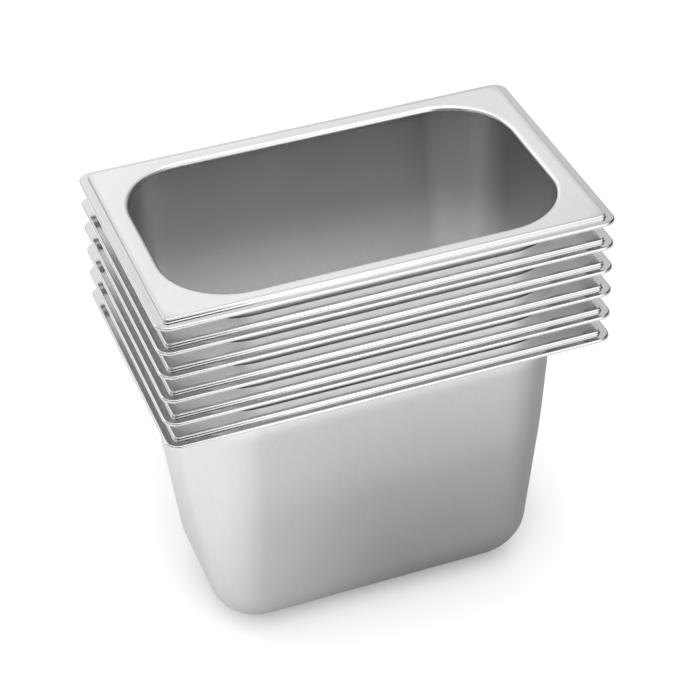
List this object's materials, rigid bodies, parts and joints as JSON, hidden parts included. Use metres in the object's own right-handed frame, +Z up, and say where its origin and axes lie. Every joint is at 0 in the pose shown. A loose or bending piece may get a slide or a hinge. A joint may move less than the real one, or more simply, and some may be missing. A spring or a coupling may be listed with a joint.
{
  "type": "deli food pan stack",
  "caption": "Nested stack of deep rectangular stainless food pans with wide flat flanges, stepped lips and rounded corners; each lifts out of the one below.",
  "frame": {"origin": "centre of the underside of the lowest pan's floor", "axes": "+X along the pans' length, +Y across their width, +Z up out of their mouths"},
  "size_m": [0.265, 0.162, 0.2696],
  "materials": {
    "pan_steel": "satin drawn walls, polished flange and lip"
  },
  "bodies": {
    "pan_1": {"food_pan_1": "pan_steel"},
    "pan_2": {"food_pan_2": "pan_steel"},
    "pan_3": {"food_pan_3": "pan_steel"},
    "pan_4": {"food_pan_4": "pan_steel"},
    "pan_5": {"food_pan_5": "pan_steel"},
    "pan_6": {"food_pan_6": "pan_steel"}
  },
  "joints": [
    {"name": "lift_pan_2", "type": "slide", "parent": "pan_1", "child": "pan_2", "axis": [0, 0, 1], "range_m": [0, 0.18]},
    {"name": "lift_pan_3", "type": "slide", "parent": "pan_2", "child": "pan_3", "axis": [0, 0, 1], "range_m": [0, 0.18]},
    {"name": "lift_pan_4", "type": "slide", "parent": "pan_3", "child": "pan_4", "axis": [0, 0, 1], "range_m": [0, 0.18]},
    {"name": "lift_pan_5", "type": "slide", "parent": "pan_4", "child": "pan_5", "axis": [0, 0, 1], "range_m": [0, 0.18]},
    {"name": "lift_pan_6", "type": "slide", "parent": "pan_5", "child": "pan_6", "axis": [0, 0, 1], "range_m": [0, 0.18]}
  ]
}
